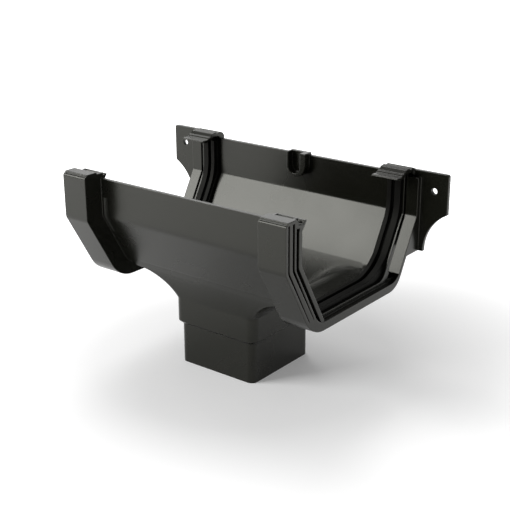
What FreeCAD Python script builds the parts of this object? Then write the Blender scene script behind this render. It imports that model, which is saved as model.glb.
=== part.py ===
import FreeCAD, Part
import math
import os

# Running outlet for a square line rain gutter, in millimetres.
# X runs along the gutter, +Y points to the wall, +Z is up.
# The origin is the centre of the outlet spigot's lower end.

# Channel between the two sockets
channel_half_length = 68.6
channel_front = -57.6
channel_back = 61.3
channel_floor = 65.3
front_shoulder = 102.9
back_shoulder = 103.5
slant = math.atan(0.565)
wall = 2.3
back_wall = 2.5
channel_front_top = 127.2
channel_back_top = 129.2
floor_round = 9.5
shoulder_round = 4.0

# Sockets at both ends, each a collar that is larger than the channel
collar_length = 19.6
collar_front_depth = 16.1
collar_front_slant_depth = 14.6
collar_floor_depth = 9.7
collar_back_slant_depth = 11.4
collar_front_top = 130.9
collar_top_round = 1.8
collar_front_round = 21.0
collar_back_round = 15.0
collar_shoulder_round = 6.0
end_wall = 2.3

# Seat of the seal inside each socket
seat_front_depth = 6.3
seat_front_slant_depth = 6.0
seat_floor_depth = 4.3
seat_length = 12.5
seat_round = 9.0
retainer_width = 1.2

# Surface that guides the gutter beyond the seal
guide_front_depth = 0.3
guide_floor_depth = 1.3
guide_back_slant_depth = -3.0
guide_back_depth = -3.4
guide_wall = 2.3
guide_reach = 6.4
guide_strip_width = 8.4
guide_low_end = 69.7
guide_back_top = 128.8
lip_wall = 2.9
lip_reach = 3.2
lip_drop = 6.3
lip_top = collar_front_top - lip_drop

# Hollows in the end of the thick front wall: depth outside the channel face
front_hollows = ((12.5, 14.0), (7.8, 9.8))
front_hollow_reach = 5.0
front_hollow_low_end = 66.0
front_hollow_end_width = 0.5

# Back plate ears with the outer screw holes
ear_half_span = 114.0
ear_top = 133.0
ear_corner_round = 1.5
ear_arc_outset = 14.1
ear_arc_centre = ear_half_span + ear_arc_outset
ear_arc_height = 80.0
ear_arc_radius = 30.3
ear_corner_rise = 27.0
ear_low_corner = ear_arc_height + ear_corner_rise
ear_foot_end = 79.7
screw_inset = 9.7
screw_spacing = 2 * (ear_half_span - screw_inset)
screw_drop = 11.9
screw_height = ear_top - screw_drop
screw_radius = 2.1

# Clips that hook over the edges of the gutter
front_clip_length = collar_length
back_clip_inset = 1.5
back_clip_length = 18.9
back_clip_start = channel_half_length + back_clip_inset
back_clip_end = back_clip_start + back_clip_length

# Front clip, from its cover to its nose: distance outside the channel, height over the collar, round
front_clip_profile = (
    (14.4, -1.0, 0.0),
    (14.4, 1.0, 0.5),
    (5.8, 1.0, 0.8),
    (4.2, -2.8, 0.8),
    (-0.2, -3.3, 0.6),
    (-1.7, -1.3, 0.0),
    (-2.9, -1.3, 0.0),
    (-3.2, -1.9, 0.0),
    (0.3, -6.5, 0.0),
    (3.2, -6.5, 0.0),
    (3.2, -4.7, 0.6),
    (5.8, -4.5, 0.6),
    (7.6, -1.0, 0.0),
)

# Back clip, over its top to the nose and back: distance outside the channel, height over the plate, round
back_clip_profile = (
    (2.5, -1.8, 0.0),
    (3.7, -0.2, 0.6),
    (3.7, 2.1, 0.8),
    (2.3, 4.2, 0.8),
    (-1.0, 5.6, 1.2),
    (-4.5, 4.4, 0.6),
    (-5.3, 6.0, 0.8),
    (-9.3, 5.4, 0.8),
    (-11.6, 3.5, 0.5),
    (-13.3, 3.3, 0.0),
    (-14.0, 2.5, 0.0),
    (-15.8, 2.0, 0.0),
    (-19.2, 2.3, 0.0),
    (-20.5, 1.5, 0.0),
    (-16.4, 0.0, 0.5),
    (-12.1, 0.8, 0.8),
    (-8.7, 2.8, 0.8),
    (-2.7, 2.5, 1.0),
    (0.0, -0.2, 0.8),
    (0.0, -1.8, 0.0),
)

# Pocket for the middle screw
pocket_half_width = 7.8
pocket_depth = 5.3
pocket_front = channel_back - pocket_depth
pocket_rise = 1.6
pocket_top = channel_back_top + pocket_rise
pocket_height = 16.7
pocket_low_end = pocket_top - pocket_height
pocket_left_wall = 1.6
pocket_right_wall = 4.2
pocket_floor = 1.8

# Hopper, neck and spigot
arch_inset = 1.3
arch_centre = channel_half_length - arch_inset
neck_half_width = 33.0
arch_spring = 7.7
arch_radius = arch_centre - neck_half_width + arch_spring
arch_drop = 1.6
arch_height = channel_floor - arch_drop - arch_radius
neck_low_end = 30.0
neck_round = 5.5
hopper_front_bend_y = -40.5
hopper_front_bend_z = 68.0
hopper_front_radius = 62.0
hopper_sections = 4
arch_last_angle = math.radians(80)
hopper_overlap = 2.0
hopper_top_round = 5.0
spigot_half_width = 30.5
spigot_wall = 2.2
spigot_round = 4.5
spigot_step = 2.5

# Rubber seals
seal_gap = 0.5
seal_base = 2.4
seal_lips = ((1.3, 4.2), (6.9, 11.1))
seal_front_depth = -0.4
seal_floor_depth = -1.9
seal_back_slant_depth = -4.2
seal_back_depth = -4.8
seal_front_round = 17.0
seal_back_round = 32.0
seal_shoulder_round = 36.0
seal_front_drop = 0.4
seal_front_top = lip_top - seal_front_drop
seal_back_drop = 0.6
seal_back_top = guide_back_top - seal_back_drop

above = 160.0


def rounded_wire(corners, place):
    count = len(corners)
    starts = []
    ends = []
    middles = []
    for i in range(count):
        before = corners[i - 1]
        here = corners[i]
        after = corners[(i + 1) % count]
        radius = here[2] if len(here) > 2 else 0.0
        point = FreeCAD.Vector(here[0], here[1], 0)
        back = FreeCAD.Vector(before[0], before[1], 0) - point
        ahead = FreeCAD.Vector(after[0], after[1], 0) - point
        back.normalize()
        ahead.normalize()
        half = math.acos(max(-1.0, min(1.0, back.dot(ahead)))) / 2
        if radius <= 0 or half > math.radians(89.5):
            starts.append(point)
            ends.append(point)
            middles.append(None)
            continue
        reach = radius / math.tan(half)
        inward = back + ahead
        inward.normalize()
        centre = point + inward * (radius / math.sin(half))
        starts.append(point + back * reach)
        ends.append(point + ahead * reach)
        middles.append(centre - inward * radius)
    edges = []
    for i in range(count):
        following = (i + 1) % count
        if middles[i] is not None:
            arc = Part.Arc(place(starts[i]), place(middles[i]), place(ends[i]))
            edges.append(arc.toShape())
        if (starts[following] - ends[i]).Length > 1e-6:
            edges.append(Part.makeLine(place(ends[i]), place(starts[following])))
    return Part.Wire(edges)


def prism_along_x(corners, start, end):
    wire = rounded_wire(corners, lambda p: FreeCAD.Vector(start, p.x, p.y))
    return Part.Face(wire).extrude(FreeCAD.Vector(end - start, 0, 0))


def prism_along_y(corners, start, end):
    wire = rounded_wire(corners, lambda p: FreeCAD.Vector(p.x, start, p.y))
    return Part.Face(wire).extrude(FreeCAD.Vector(0, end - start, 0))


def prism_along_z(corners, start, end):
    wire = rounded_wire(corners, lambda p: FreeCAD.Vector(p.x, p.y, start))
    return Part.Face(wire).extrude(FreeCAD.Vector(0, 0, end - start))


def square_prism(half_width, radius, start, end):
    corners = [(-half_width, -half_width, radius), (half_width, -half_width, radius)]
    corners += [(half_width, half_width, radius), (-half_width, half_width, radius)]
    return prism_along_z(corners, start, end)


def mirrored(shape):
    return shape.mirror(FreeCAD.Vector(0, 0, 0), FreeCAD.Vector(1, 0, 0))


def joined(shapes):
    return shapes[0].fuse(shapes[1:]).removeSplitter()


# Height at which the front slant, moved outward, meets a front face moved outward
def front_bend(depth, slant_depth):
    sideways = slant_depth / math.cos(slant)
    return front_shoulder + (depth - sideways) / math.tan(slant)


# The same for the back slant and the back face
def back_bend(depth, slant_depth):
    sideways = slant_depth / math.cos(slant)
    return back_shoulder + (depth - sideways) / math.tan(slant)


def front_slant_y(height, slant_depth):
    sideways = slant_depth / math.cos(slant)
    return channel_front - sideways + (front_shoulder - height) * math.tan(slant)


def back_slant_y(height, slant_depth):
    sideways = slant_depth / math.cos(slant)
    return channel_back + sideways - (back_shoulder - height) * math.tan(slant)


# Outline of the gutter shape, each side moved outward from the channel's inside
def trough(front, front_slant, floor, back_slant, back, tops, rounds):
    low = channel_floor - floor
    corners = [
        (channel_front - front, tops[0]),
        (channel_front - front, front_bend(front, front_slant), rounds[0]),
        (front_slant_y(low, front_slant), low, rounds[1]),
        (back_slant_y(low, back_slant), low, rounds[2]),
        (channel_back + back, back_bend(back, back_slant), rounds[3]),
        (channel_back + back, tops[1]),
    ]
    return corners


def channel_outside():
    rounds = (shoulder_round, floor_round + wall, floor_round + wall, shoulder_round)
    corners = trough(wall, wall, wall, wall, back_wall, (channel_front_top, channel_back_top), rounds)
    return prism_along_x(corners, -channel_half_length - end_wall, channel_half_length + end_wall)


def channel_inside():
    rounds = (shoulder_round, floor_round, floor_round, shoulder_round)
    corners = trough(0, 0, 0, 0, 0, (above, above), rounds)
    length = channel_half_length + end_wall
    return prism_along_x(corners, -length, length)


# Height at which the arched ends of the hopper reach the neck
def neck_meeting(gap):
    rise = math.sqrt((arch_radius + gap) ** 2 - (arch_centre - neck_half_width + gap) ** 2)
    return arch_height + rise


# Front of the hopper: a hollow curve from the channel's slant to the neck
def hopper_front_y(height, gap):
    bend_y = hopper_front_bend_y + gap / math.cos(slant)
    if height >= hopper_front_bend_z:
        return bend_y
    low = neck_meeting(gap)
    drop_y = -neck_half_width + gap - bend_y
    drop_z = low - hopper_front_bend_z
    chord = math.hypot(drop_y, drop_z)
    radius = hopper_front_radius + gap
    depth = math.sqrt(radius ** 2 - (chord / 2) ** 2)
    centre_y = bend_y + drop_y / 2 + drop_z / chord * depth
    centre_z = hopper_front_bend_z + drop_z / 2 - drop_y / chord * depth
    return centre_y + math.sqrt(radius ** 2 - (height - centre_z) ** 2)


def hopper_back_y(height, gap):
    low = neck_meeting(gap)
    high = hopper_front_bend_z + hopper_overlap
    back_low = neck_half_width - gap
    back_high = back_slant_y(high, wall - gap)
    return back_low + (back_high - back_low) * (height - low) / (high - low)


# Level outline of the hopper at a height
def hopper_section(height, half_width, gap):
    low = neck_meeting(gap)
    part_way = min(1.0, (height - low) / (hopper_front_bend_z - low))
    round_here = neck_round + (hopper_top_round - neck_round) * part_way - gap
    front_y = hopper_front_y(height, gap)
    back_y = hopper_back_y(height, gap)
    corners = [
        (-half_width, front_y, round_here),
        (half_width, front_y, round_here),
        (half_width, back_y, round_here),
        (-half_width, back_y, round_here),
    ]
    return rounded_wire(corners, lambda p: FreeCAD.Vector(p.x, p.y, height))


# The arched part of the hopper, and its rim that runs up into the channel
def hopper(gap):
    radius = arch_radius + gap
    start = math.asin((neck_meeting(gap) - arch_height) / radius)
    turn = (arch_last_angle - start) / (hopper_sections - 1)
    sections = []
    for i in range(hopper_sections):
        angle = start + turn * i
        height = arch_height + radius * math.sin(angle)
        half_width = arch_centre - radius * math.cos(angle)
        sections.append(hopper_section(height, half_width, gap))
    arched = Part.makeLoft(sections, True, False)
    levels = (arch_height + radius, hopper_front_bend_z, hopper_front_bend_z + hopper_overlap)
    rim = [sections[-1]] + [hopper_section(level, arch_centre, gap) for level in levels]
    return joined([arched, Part.makeLoft(rim, True, True)])


def square_wire(half_width, radius, height):
    corners = [(-half_width, -half_width, radius), (half_width, -half_width, radius)]
    corners += [(half_width, half_width, radius), (-half_width, half_width, radius)]
    return rounded_wire(corners, lambda p: FreeCAD.Vector(p.x, p.y, height))


def neck_and_spigot(gap, spigot_gap):
    top = neck_meeting(0) + gap
    neck = square_prism(neck_half_width - gap, neck_round - gap, neck_low_end, top)
    shelf = neck_low_end - spigot_step
    spigot_half = spigot_half_width - spigot_gap
    spigot = square_prism(spigot_half, spigot_round - spigot_gap, 0, shelf)
    wide = square_wire(neck_half_width - gap, neck_round - gap, neck_low_end)
    narrow = square_wire(spigot_half, spigot_round - spigot_gap, shelf)
    step = Part.makeLoft([narrow, wide], True, True)
    return joined([neck, step, spigot])


# Everything outside of the collar: its front runs straight up, its back is the flat plate
def collar_outside():
    rounds = (collar_shoulder_round, collar_front_round, collar_back_round, 0)
    low = collar_floor_depth
    corners = trough(collar_front_depth, collar_front_slant_depth, low, collar_back_slant_depth,
                     back_wall, (collar_front_top, guide_back_top), rounds)
    corners[0] = corners[0] + (collar_top_round,)
    start = channel_half_length
    return prism_along_x(corners, start, start + collar_length)


def seat_hollow():
    rounds = (shoulder_round, seat_round, seat_round, shoulder_round)
    corners = trough(seat_front_depth, seat_front_slant_depth, seat_floor_depth, 0, 0,
                     (above, above), rounds)
    start = channel_half_length + end_wall
    return prism_along_x(corners, start, start + seat_length)


# The mouth of the collar, beyond the wall that keeps the seal in
def mouth_hollow():
    rounds = (shoulder_round, collar_front_round - collar_floor_depth, collar_back_round - end_wall, 0)
    corners = trough(seat_front_depth, seat_front_slant_depth, seat_floor_depth,
                     collar_back_slant_depth - end_wall, 0, (above, above), rounds)
    start = retainer_end()
    return prism_along_x(corners, start, start + collar_length)


# The space behind the sloping seat, open to the end
def back_hollow():
    high_z = back_bend(0, wall)
    low_z = channel_floor - seat_floor_depth + wall
    outer = collar_back_slant_depth - end_wall
    corners = [
        (channel_back, back_bend(0, outer)),
        (channel_back, high_z),
        (back_slant_y(low_z, wall), low_z),
        (back_slant_y(low_z, outer), low_z, end_wall),
    ]
    start = channel_half_length + end_wall
    return prism_along_x(corners, start, retainer_end())


def guide_hollow(start, end):
    rounds = (shoulder_round, seat_round, seat_round, shoulder_round)
    corners = trough(guide_front_depth, guide_front_depth, guide_floor_depth,
                     guide_back_slant_depth, guide_back_depth, (above, above), rounds)
    return prism_along_x(corners, start, end)


def retainer_end():
    return channel_half_length + end_wall + seat_length + retainer_width


# Sloping and upright strip that guides the back of the gutter, and its end web
def back_guide():
    inner = guide_back_slant_depth
    outer = guide_back_slant_depth + guide_wall
    outer_back = guide_back_depth + guide_wall
    strip = [
        (channel_back + guide_back_depth, guide_back_top),
        (channel_back + guide_back_depth, back_bend(guide_back_depth, inner), shoulder_round),
        (back_slant_y(guide_low_end, inner), guide_low_end),
        (back_slant_y(guide_low_end, outer), guide_low_end),
        (channel_back + outer_back, back_bend(outer_back, outer), shoulder_round),
        (channel_back + outer_back, guide_back_top),
    ]
    web = [
        (channel_back + guide_back_depth + guide_wall / 2, guide_back_top),
        (channel_back + guide_back_depth + guide_wall / 2, back_bend(guide_back_depth, inner)),
        (back_slant_y(ear_foot_end, inner + guide_wall / 2), ear_foot_end),
        (channel_back + back_wall / 2, ear_foot_end),
        (channel_back + back_wall / 2, guide_back_top),
    ]
    end = channel_half_length + collar_length + guide_reach
    start = end - guide_strip_width
    return [prism_along_x(strip, start, end), prism_along_x(web, end - guide_wall, end)]


# Lip that guides the front of the gutter, carried by the retaining wall
def front_lip():
    inner = guide_front_depth
    outer = guide_front_depth + lip_wall
    lip_low_end = channel_floor - seat_floor_depth
    corners = [
        (channel_front - inner, lip_top),
        (channel_front - outer, lip_top),
        (channel_front - outer, front_bend(outer, outer), shoulder_round),
        (front_slant_y(lip_low_end, outer), lip_low_end),
        (front_slant_y(lip_low_end, inner), lip_low_end),
        (channel_front - inner, front_bend(inner, inner), shoulder_round),
    ]
    start = retainer_end() - retainer_width
    return prism_along_x(corners, start, start + retainer_width + lip_reach)


def front_end_hollow(inner, outer):
    ratio = collar_front_slant_depth / collar_front_depth
    narrow = (inner + outer) / 2 * ratio
    thin = front_hollow_end_width / 2
    low = front_hollow_low_end
    corners = [
        (channel_front - inner, above),
        (channel_front - outer, above),
        (channel_front - outer, front_bend(outer, outer * ratio), shoulder_round),
        (front_slant_y(low, narrow + thin), low),
        (front_slant_y(low, narrow - thin), low),
        (channel_front - inner, front_bend(inner, inner * ratio), shoulder_round),
    ]
    end = channel_half_length + collar_length
    return prism_along_x(corners, end - front_hollow_reach, end)


# The ribbon that covers the front wall and ends in a nose over the gutter's edge
def front_clip():
    corners = []
    for outward, rise, radius in front_clip_profile:
        corners.append((channel_front - outward, collar_front_top + rise, radius))
    start = channel_half_length
    return prism_along_x(corners, start, start + front_clip_length)


# The ribbon that runs from the back plate to a nose over the gutter's back edge
def back_clip():
    corners = []
    for outward, rise, radius in back_clip_profile:
        corners.append((channel_back + outward, guide_back_top + rise, radius))
    return prism_along_x(corners, back_clip_start, back_clip_end)


# Flat ear of the back plate with its hollow lower edge, foot and screw hole
def ear():
    inner = channel_half_length + end_wall
    plate = prism_along_y([
        (inner, guide_back_top),
        (inner, ear_foot_end),
        (ear_half_span, ear_foot_end),
        (ear_half_span, ear_top, ear_corner_round),
        (back_clip_end, ear_top),
        (back_clip_end, guide_back_top),
    ], channel_back, channel_back + back_wall)
    corner_drop = ear_low_corner - ear_arc_height
    corner_x = ear_arc_centre - math.sqrt(ear_arc_radius ** 2 - corner_drop ** 2)
    below = ear_arc_height - ear_arc_radius
    outside = Part.makeBox(ear_half_span, back_wall, ear_low_corner - below,
                           FreeCAD.Vector(corner_x, channel_back, below))
    across = FreeCAD.Vector(0, 1, 0)
    middle = FreeCAD.Vector(ear_arc_centre, channel_back, ear_arc_height)
    arc = Part.makeCylinder(ear_arc_radius, back_wall, middle, across)
    hole_centre = FreeCAD.Vector(screw_spacing / 2, channel_back, screw_height)
    hole = Part.makeCylinder(screw_radius, back_wall, hole_centre, across)
    return plate.cut([arc, outside, hole])


def pocket_outline(left, right, low, top):
    radius = (right - left) / 2
    return [(left, top), (left, low, radius), (right, low, radius), (right, top)]


# Boss on the back wall for the middle screw
def middle_pocket():
    half_width = pocket_half_width
    outline = pocket_outline(-half_width, half_width, pocket_low_end, pocket_top)
    return prism_along_y(outline, pocket_front, channel_back + back_wall)


# Its recess, open to the front and at the top
def middle_pocket_hollow():
    left = pocket_left_wall - pocket_half_width
    right = pocket_half_width - pocket_right_wall
    outline = pocket_outline(left, right, pocket_low_end + pocket_floor, above)
    return prism_along_y(outline, 0, channel_back)


def socket():
    end = channel_half_length + collar_length
    hollows = [channel_inside(), seat_hollow(), mouth_hollow(), back_hollow()]
    hollows.append(guide_hollow(retainer_end() - retainer_width, end))
    hollows += [front_end_hollow(*depths) for depths in front_hollows]
    body = collar_outside().cut(hollows)
    return joined([body, front_lip(), front_clip(), back_clip(), ear()] + back_guide())


def outlet_body():
    body = joined([channel_outside(), hopper(0), neck_and_spigot(0, 0)])
    body = body.cut([channel_inside(), hopper(wall), neck_and_spigot(wall, spigot_wall)])
    right = socket()
    pocket = middle_pocket().cut(middle_pocket_hollow())
    return joined([body, pocket, right, mirrored(right)])


# Rubber seal: a base strip in the seat with two lips that press on the gutter
def seal():
    start = channel_half_length + end_wall + seal_gap
    end = start + seat_length - 2 * seal_gap
    tops = (seal_front_top, seal_back_top)
    rounds = (shoulder_round, seat_round, seat_round, shoulder_round)
    outer = trough(seat_front_depth, seat_front_slant_depth, seat_floor_depth, 0, 0, tops, rounds)
    strip = prism_along_x(outer, start, end)
    base = trough(seat_front_depth - seal_base, seat_front_slant_depth - seal_base,
                  seat_floor_depth - seal_base, -seal_base, -seal_base, (above, above), rounds)
    cuts = []
    position = start
    for first, last in seal_lips:
        cuts.append(prism_along_x(base, position, start + first))
        position = start + last
    cuts.append(prism_along_x(base, position, end))
    inside_rounds = (seal_shoulder_round, seal_front_round, seal_back_round, seal_shoulder_round)
    inside = trough(seal_front_depth, seal_front_depth, seal_floor_depth, seal_back_slant_depth,
                    seal_back_depth, (above, above), inside_rounds)
    cuts.append(prism_along_x(inside, start, end))
    return strip.cut(cuts).removeSplitter()


def save(shape, node):
    shape.exportStep(os.path.join("parts", node + ".step"))


os.makedirs("parts", exist_ok=True)
right_seal = seal()
save(outlet_body(), "outlet_body")
save(right_seal, "right_seal")
save(mirrored(right_seal), "left_seal")
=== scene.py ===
import bpy
import math
from mathutils import Matrix, Vector

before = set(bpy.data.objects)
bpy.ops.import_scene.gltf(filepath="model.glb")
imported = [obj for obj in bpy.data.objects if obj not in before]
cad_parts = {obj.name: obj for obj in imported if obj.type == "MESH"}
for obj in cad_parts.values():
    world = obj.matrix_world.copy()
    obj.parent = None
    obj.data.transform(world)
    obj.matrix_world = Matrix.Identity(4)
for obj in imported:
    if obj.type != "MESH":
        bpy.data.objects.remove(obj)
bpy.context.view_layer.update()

# Image and camera, fitted to the photograph; lengths in metres
imageSize = 510
camera = {
    "azimuth": 37.608,
    "elevation": 19.966,
    "distance": 0.70759,
    "target": (0.00966, 0.00987, 0.07461),
    "focalPixels": 1073.9,
    "centrePixel": (265.4, 251.96),
    "roll": -0.00177,
    "sensorWidth": 36.0,
    "clip": (0.01, 50),
}

# Shared by both materials
bevelSamples = 6
cloudsPerFlow = 2
cloudDetail = 3.0
flowDetail = 1.0
grainDetail = 2.0

# Dark glossy moulded plastic of the outlet; the soft zones are its hopper and front shoulder
moulding = {
    "colour": (0.0048, 0.0050, 0.0032, 1.0),
    "paleColour": (0.0070, 0.0072, 0.0048, 1.0),
    "roughness": (0.22, 0.31),
    "specularLevel": 0.35,
    "specularTint": (1.0, 1.0, 0.92, 1.0),
    "edgeRound": 0.0007,
    "softRound": 0.0075,
    "softZones": (
        ((0.0, 0.032, 0.053), (0.067, 0.020, 0.0135)),
        ((0.0, -0.0576, 0.1029), (0.067, 0.010, 0.012)),
    ),
    "grainScale": 900.0,
    "grainDepth": 0.00001,
    "flowScale": 14.0,
    "flowDepth": 0.0003,
}

# Black rubber of the two seals
rubber = {
    "colour": (0.004, 0.004, 0.004, 1.0),
    "paleColour": (0.007, 0.007, 0.006, 1.0),
    "roughness": (0.48, 0.60),
    "specularLevel": 0.08,
    "specularTint": (1.0, 1.0, 0.90, 1.0),
    "edgeRound": 0.0006,
    "grainScale": 1400.0,
    "grainDepth": 0.00002,
    "flowScale": 40.0,
    "flowDepth": 0.00006,
}

# Floor, backdrop and world; the floor's glow grows with the distance from the object
studio = {
    "floorColour": (0.86, 0.86, 0.86, 1.0),
    "floorLift": 0.17,
    "farLift": 1.0,
    "liftGrows": (0.10, 0.38),
    "floorSize": 8.0,
    "worldLevel": 0.35,
    "backdropRadius": 3.8,
    "backdropHeight": 1.3,
    "backdropSides": 48,
}

lamps = [
    {
        "name": "keyBox",
        "direction": (-0.60, -0.66, 0.46),
        "distance": 1.5,
        "size": (0.80, 0.70),
        "power": 17.5,
    },
    {
        "name": "topBox",
        "direction": (-0.55, 0.30, 0.78),
        "distance": 1.6,
        "size": (0.8, 0.7),
        "power": 8.0,
    },
    {
        "name": "backBox",
        "direction": (-0.58, 0.72, 0.36),
        "distance": 1.7,
        "size": (0.8, 0.5),
        "power": 1.6,
    },
]


def addNode(tree, kind, **inputs):
    node = tree.nodes.new(kind)
    for name, value in inputs.items():
        node.inputs[name.replace("_", " ")].default_value = value
    return node


def joinMath(tree, operation, first, second):
    node = tree.nodes.new("ShaderNodeMath")
    node.operation = operation
    tree.links.new(first, node.inputs[0])
    tree.links.new(second, node.inputs[1])
    return node.outputs[0]


def rangeNode(tree, value, low, high):
    node = addNode(tree, "ShaderNodeMapRange", To_Min=low, To_Max=high)
    tree.links.new(value, node.inputs["Value"])
    return node


def noiseField(tree, coordinates, scale, detail):
    noise = addNode(tree, "ShaderNodeTexNoise", Scale=scale, Detail=detail)
    tree.links.new(coordinates.outputs["Object"], noise.inputs["Vector"])
    return noise


# One inside a box where corners are rounded more, else zero
def softZone(tree, coordinates, centres, halfSizes):
    split = tree.nodes.new("ShaderNodeSeparateXYZ")
    tree.links.new(coordinates.outputs["Object"], split.inputs[0])
    product = None
    for axis, centre, reach in zip("XYZ", centres, halfSizes):
        test = tree.nodes.new("ShaderNodeMath")
        test.operation = "COMPARE"
        test.inputs[1].default_value = centre
        test.inputs[2].default_value = reach
        tree.links.new(split.outputs[axis], test.inputs[0])
        inside = test.outputs[0]
        product = inside if product is None else joinMath(tree, "MULTIPLY", product, inside)
    return product


# Plastic or rubber: cloudy colour and gloss, a fine grain, slow waves and rounded edges
def mouldedMaterial(name, look):
    material = bpy.data.materials.new(name)
    material.use_nodes = True
    tree = material.node_tree
    surface = tree.nodes["Principled BSDF"]
    surface.inputs["Specular IOR Level"].default_value = look["specularLevel"]
    surface.inputs["Specular Tint"].default_value = look["specularTint"]
    coordinates = tree.nodes.new("ShaderNodeTexCoord")
    clouds = noiseField(tree, coordinates, look["flowScale"] * cloudsPerFlow, cloudDetail)
    colour = tree.nodes.new("ShaderNodeMix")
    colour.data_type = "RGBA"
    colour.inputs["A"].default_value = look["colour"]
    colour.inputs["B"].default_value = look["paleColour"]
    tree.links.new(clouds.outputs["Fac"], colour.inputs["Factor"])
    tree.links.new(colour.outputs["Result"], surface.inputs["Base Color"])
    gloss = rangeNode(tree, clouds.outputs["Fac"], *look["roughness"])
    tree.links.new(gloss.outputs["Result"], surface.inputs["Roughness"])
    edges = addNode(tree, "ShaderNodeBevel", Radius=look["edgeRound"])
    edges.samples = bevelSamples
    if "softRound" in look:
        zones = [softZone(tree, coordinates, *zone) for zone in look["softZones"]]
        soft = joinMath(tree, "MAXIMUM", *zones)
        radius = rangeNode(tree, soft, look["edgeRound"], look["softRound"])
        tree.links.new(radius.outputs["Result"], edges.inputs["Radius"])
    waves = noiseField(tree, coordinates, look["flowScale"], flowDetail)
    grain = noiseField(tree, coordinates, look["grainScale"], grainDetail)
    waveBump = addNode(tree, "ShaderNodeBump", Distance=look["flowDepth"])
    grainBump = addNode(tree, "ShaderNodeBump", Distance=look["grainDepth"])
    tree.links.new(edges.outputs["Normal"], waveBump.inputs["Normal"])
    tree.links.new(waves.outputs["Fac"], waveBump.inputs["Height"])
    tree.links.new(waveBump.outputs["Normal"], grainBump.inputs["Normal"])
    tree.links.new(grain.outputs["Fac"], grainBump.inputs["Height"])
    tree.links.new(grainBump.outputs["Normal"], surface.inputs["Normal"])
    return material


def dressNode(node, material):
    piece = bpy.data.objects[node]
    for slot in piece.material_slots:
        slot.material = material
    if not piece.material_slots:
        piece.data.materials.append(material)


# One as the camera, reflections and glass see it, zero as a light source
def seenWhite(tree):
    path = tree.nodes.new("ShaderNodeLightPath")
    seen = path.outputs["Is Camera Ray"]
    for ray in ("Is Glossy Ray", "Is Transmission Ray"):
        seen = joinMath(tree, "MAXIMUM", seen, path.outputs[ray])
    return seen


def emptyMaterial(name):
    material = bpy.data.materials.new(name)
    material.use_nodes = True
    tree = material.node_tree
    tree.nodes.clear()
    output = tree.nodes.new("ShaderNodeOutputMaterial")
    glow = tree.nodes.new("ShaderNodeEmission")
    return material, tree, output, glow


def makeStage(name, corners, faces, material):
    mesh = bpy.data.meshes.new(name)
    mesh.from_pydata(corners, [], faces)
    mesh.materials.append(material)
    piece = bpy.data.objects.new(name, mesh)
    bpy.context.collection.objects.link(piece)
    return piece


def makeFloor():
    material, tree, output, glow = emptyMaterial("paleFloor")
    matt = addNode(tree, "ShaderNodeBsdfDiffuse", Color=studio["floorColour"])
    coordinates = tree.nodes.new("ShaderNodeTexCoord")
    distance = tree.nodes.new("ShaderNodeVectorMath")
    distance.operation = "LENGTH"
    tree.links.new(coordinates.outputs["Object"], distance.inputs[0])
    growing = rangeNode(tree, distance.outputs["Value"], studio["floorLift"], studio["farLift"])
    growing.inputs["From Min"].default_value = studio["liftGrows"][0]
    growing.inputs["From Max"].default_value = studio["liftGrows"][1]
    strength = joinMath(tree, "MULTIPLY", seenWhite(tree), growing.outputs["Result"])
    tree.links.new(strength, glow.inputs["Strength"])
    both = tree.nodes.new("ShaderNodeAddShader")
    tree.links.new(matt.outputs["BSDF"], both.inputs[0])
    tree.links.new(glow.outputs["Emission"], both.inputs[1])
    tree.links.new(both.outputs["Shader"], output.inputs["Surface"])
    half = studio["floorSize"] / 2
    corners = [(-half, -half, 0), (half, -half, 0), (half, half, 0), (-half, half, 0)]
    floor = makeStage("floor", corners, [(0, 1, 2, 3)], material)


# Low white wall all around, so that level views meet white too
def makeBackdrop():
    material, tree, output, glow = emptyMaterial("whiteBackdrop")
    tree.links.new(seenWhite(tree), glow.inputs["Strength"])
    tree.links.new(glow.outputs["Emission"], output.inputs["Surface"])
    sides = studio["backdropSides"]
    corners = []
    for height in (0, studio["backdropHeight"]):
        for i in range(sides):
            angle = 2 * math.pi * i / sides
            x = math.cos(angle) * studio["backdropRadius"]
            y = math.sin(angle) * studio["backdropRadius"]
            corners.append((x, y, height))
    faces = [(i, (i + 1) % sides, (i + 1) % sides + sides, i + sides) for i in range(sides)]
    backdrop = makeStage("backdrop", corners, faces, material)


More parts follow.
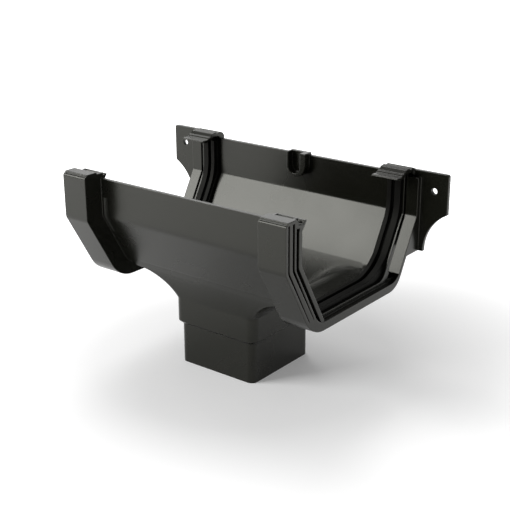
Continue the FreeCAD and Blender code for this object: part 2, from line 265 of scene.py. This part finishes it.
def makeWorld():
    world = bpy.data.worlds.new("studioWorld")
    world.use_nodes = True
    background = world.node_tree.nodes["Background"]
    background.inputs["Color"].default_value = (1.0, 1.0, 1.0, 1.0)
    background.inputs["Strength"].default_value = studio["worldLevel"]
    bpy.context.scene.world = world


def makeLamp(lamp):
    light = bpy.data.lights.new(lamp["name"], "AREA")
    light.shape = "RECTANGLE"
    light.size, light.size_y = lamp["size"]
    light.energy = lamp["power"]
    holder = bpy.data.objects.new(lamp["name"], light)
    away = Vector(lamp["direction"]).normalized()
    holder.location = Vector(camera["target"]) + away * lamp["distance"]
    holder.rotation_euler = (-away).to_track_quat("-Z", "Y").to_euler()
    bpy.context.collection.objects.link(holder)


def makeCamera():
    azimuth = math.radians(camera["azimuth"])
    elevation = math.radians(camera["elevation"])
    level = math.cos(elevation)
    back = Vector((math.sin(azimuth) * level, -math.cos(azimuth) * level, math.sin(elevation)))
    right = Vector((math.cos(azimuth), math.sin(azimuth), 0))
    up = back.cross(right)
    turned = Matrix.Rotation(camera["roll"], 3, back)
    right = turned @ right
    up = turned @ up
    data = bpy.data.cameras.new("camera")
    data.sensor_width = camera["sensorWidth"]
    data.lens = camera["focalPixels"] / imageSize * camera["sensorWidth"]
    data.shift_x = (imageSize / 2 - camera["centrePixel"][0]) / imageSize
    data.shift_y = (camera["centrePixel"][1] - imageSize / 2) / imageSize
    data.clip_start, data.clip_end = camera["clip"]
    holder = bpy.data.objects.new("camera", data)
    place = Vector(camera["target"]) + back * camera["distance"]
    turn = Matrix((right, up, back)).transposed().to_4x4()
    holder.matrix_world = Matrix.Translation(place) @ turn
    bpy.context.collection.objects.link(holder)
    bpy.context.scene.camera = holder


makeCamera()
print("camera done")

dressNode("outlet_body", mouldedMaterial("mouldedPlastic", moulding))
sealMaterial = mouldedMaterial("sealRubber", rubber)
for sealName in ("left_seal", "right_seal"):
    dressNode(sealName, sealMaterial)
print("materials done")

makeFloor()
makeBackdrop()
makeWorld()
for lamp in lamps:
    makeLamp(lamp)
bpy.context.scene.view_settings.view_transform = "Standard"
print("studio done")
